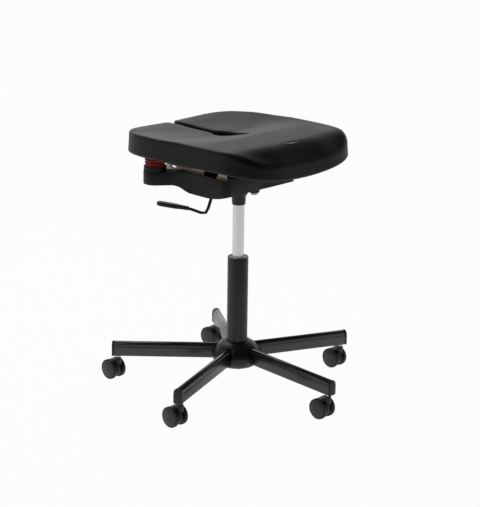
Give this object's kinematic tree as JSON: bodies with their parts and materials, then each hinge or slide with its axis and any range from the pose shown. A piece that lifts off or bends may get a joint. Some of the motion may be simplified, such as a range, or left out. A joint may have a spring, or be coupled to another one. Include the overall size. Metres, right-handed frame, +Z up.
{
  "type": "saddle stool",
  "caption": "Wheeled work stool: a split saddle seat of moulded foam on a sprung tilt plate, a gas lift with a lever, and a low star base of metal arms on twin castors.",
  "frame": {"origin": "on the floor, in the middle of the footprint: halfway between the face of the front arm's end cap and the rearmost castor wheels, on the stool's middle plane", "axes": "+Z up; the sitter faces -Y and has +X on the left hand; the lift column is upright on the middle plane, 14 mm behind the origin"},
  "size_m": [0.6048, 0.59, 0.643],
  "materials": {
    "foam": "dull, slightly sheeny moulded foam skin",
    "board": "raw plywood",
    "casting": "satin black powder coat over an aluminium casting",
    "black_steel": "satin black coat",
    "zinc_steel": "zinc plated",
    "chrome": "hard chrome, polished",
    "arm_paint": "satin black coat on drawn tube",
    "black_plastic": "finely grained",
    "wheel_plastic": "smooth, slight sheen",
    "spring_rubber": "ribbed elastomer, satin",
    "bush_plastic": "smooth acetal"
  },
  "bodies": {
    "base": {"hub_core": "black_steel", "hub_shell": "black_plastic", "arm_1": "arm_paint", "arm_2": "arm_paint", "arm_3": "arm_paint", "arm_4": "arm_paint", "arm_5": "arm_paint", "end_cap_1": "black_plastic", "end_cap_2": "black_plastic", "end_cap_3": "black_plastic", "end_cap_4": "black_plastic", "end_cap_5": "black_plastic", "column_tube": "black_steel", "guide_bush": "bush_plastic", "thrust_bearing": "zinc_steel"},
    "piston": {"piston_rod": "chrome", "retaining_clip": "zinc_steel"},
    "mechanism": {"gas_cylinder": "chrome", "column_socket": "black_steel", "tilt_tray": "casting", "pivot_shaft": "zinc_steel", "spring_cup_left": "black_steel", "spring_cup_right": "black_steel", "seat_spring_left": "spring_rubber", "seat_spring_right": "spring_rubber", "stop_bolt": "zinc_steel", "lever_pin": "zinc_steel"},
    "valve": {"valve_button": "black_steel"},
    "lever": {"lever_rod": "black_steel", "lever_grip": "black_plastic"},
    "seat": {"seat_carrier": "zinc_steel", "pivot_bush_left": "bush_plastic", "pivot_bush_right": "bush_plastic", "seat_board": "board", "seat_cushion": "foam"},
    "castor_1": {"castor_1_stem": "chrome", "castor_1_body": "black_plastic", "castor_1_axle": "black_steel"},
    "wheel_1_left": {"castor_1_wheel_left": "wheel_plastic"},
    "wheel_1_right": {"castor_1_wheel_right": "wheel_plastic"},
    "castor_2": {"castor_2_stem": "chrome", "castor_2_body": "black_plastic", "castor_2_axle": "black_steel"},
    "wheel_2_left": {"castor_2_wheel_left": "wheel_plastic"},
    "wheel_2_right": {"castor_2_wheel_right": "wheel_plastic"},
    "castor_3": {"castor_3_stem": "chrome", "castor_3_body": "black_plastic", "castor_3_axle": "black_steel"},
    "wheel_3_left": {"castor_3_wheel_left": "wheel_plastic"},
    "wheel_3_right": {"castor_3_wheel_right": "wheel_plastic"},
    "castor_4": {"castor_4_stem": "chrome", "castor_4_body": "black_plastic", "castor_4_axle": "black_steel"},
    "wheel_4_left": {"castor_4_wheel_left": "wheel_plastic"},
    "wheel_4_right": {"castor_4_wheel_right": "wheel_plastic"},
    "castor_5": {"castor_5_stem": "chrome", "castor_5_body": "black_plastic", "castor_5_axle": "black_steel"},
    "wheel_5_left": {"castor_5_wheel_left": "wheel_plastic"},
    "wheel_5_right": {"castor_5_wheel_right": "wheel_plastic"}
  },
  "joints": [
    {"name": "castor_1_swivel", "type": "hinge", "parent": "base", "child": "castor_1", "pos_m": [0, -0.28153, 0.06], "axis": [0, 0, 1], "continuous": true},
    {"name": "wheel_1_left_spin", "type": "hinge", "parent": "castor_1", "child": "wheel_1_left", "pos_m": [0, -0.26453, 0.025], "axis": [1, 0, 0], "continuous": true},
    {"name": "wheel_1_right_spin", "type": "hinge", "parent": "castor_1", "child": "wheel_1_right", "pos_m": [0, -0.26453, 0.025], "axis": [1, 0, 0], "continuous": true},
    {"name": "castor_2_swivel", "type": "hinge", "parent": "base", "child": "castor_2", "pos_m": [0.28104, -0.07735, 0.06], "axis": [0, 0, 1], "continuous": true},
    {"name": "wheel_2_left_spin", "type": "hinge", "parent": "castor_2", "child": "wheel_2_left", "pos_m": [0.28104, -0.06035, 0.025], "axis": [1, 0, 0], "continuous": true},
    {"name": "wheel_2_right_spin", "type": "hinge", "parent": "castor_2", "child": "wheel_2_right", "pos_m": [0.28104, -0.06035, 0.025], "axis": [1, 0, 0], "continuous": true},
    {"name": "castor_3_swivel", "type": "hinge", "parent": "base", "child": "castor_3", "pos_m": [0.17369, 0.25303, 0.06], "axis": [0, 0, 1], "continuous": true},
    {"name": "wheel_3_left_spin", "type": "hinge", "parent": "castor_3", "child": "wheel_3_left", "pos_m": [0.17369, 0.27003, 0.025], "axis": [1, 0, 0], "continuous": true},
    {"name": "wheel_3_right_spin", "type": "hinge", "parent": "castor_3", "child": "wheel_3_right", "pos_m": [0.17369, 0.27003, 0.025], "axis": [1, 0, 0], "continuous": true},
    {"name": "castor_4_swivel", "type": "hinge", "parent": "base", "child": "castor_4", "pos_m": [-0.17369, 0.25303, 0.06], "axis": [0, 0, 1], "continuous": true},
    {"name": "wheel_4_left_spin", "type": "hinge", "parent": "castor_4", "child": "wheel_4_left", "pos_m": [-0.17369, 0.27003, 0.025], "axis": [1, 0, 0], "continuous": true},
    {"name": "wheel_4_right_spin", "type": "hinge", "parent": "castor_4", "child": "wheel_4_right", "pos_m": [-0.17369, 0.27003, 0.025], "axis": [1, 0, 0], "continuous": true},
    {"name": "castor_5_swivel", "type": "hinge", "parent": "base", "child": "castor_5", "pos_m": [-0.28104, -0.07735, 0.06], "axis": [0, 0, 1], "continuous": true},
    {"name": "wheel_5_left_spin", "type": "hinge", "parent": "castor_5", "child": "wheel_5_left", "pos_m": [-0.28104, -0.06035, 0.025], "axis": [1, 0, 0], "continuous": true},
    {"name": "wheel_5_right_spin", "type": "hinge", "parent": "castor_5", "child": "wheel_5_right", "pos_m": [-0.28104, -0.06035, 0.025], "axis": [1, 0, 0], "continuous": true},
    {"name": "seat_swivel", "type": "hinge", "parent": "base", "child": "piston", "pos_m": [0, 0.01397, 0.07], "axis": [0, 0, 1], "continuous": true},
    {"name": "height_slide", "type": "slide", "parent": "piston", "child": "mechanism", "axis": [0, 0, 1], "range_m": [-0.12, 0]},
    {"name": "seat_tilt", "type": "hinge", "parent": "mechanism", "child": "seat", "pos_m": [0, -0.04273, 0.5346], "axis": [-1, 0, 0], "range_deg": [0, 4], "stiffness_Nm_per_rad": 300, "springref_deg": -1.15, "deforming": ["seat_spring_left", "seat_spring_right"]},
    {"name": "lever_lift", "type": "hinge", "parent": "mechanism", "child": "lever", "pos_m": [-0.045, 0.01397, 0.5167], "axis": [0, 1, 0], "range_deg": [0, 5], "stiffness_Nm_per_rad": 4},
    {"name": "valve_press", "type": "slide", "parent": "mechanism", "child": "valve", "axis": [0, 0, -1], "range_m": [0, 0.0043]}
  ],
  "couplings": [
    {"joint": "valve_press", "follows": "lever_lift", "m_per_rad": 0.048}
  ]
}
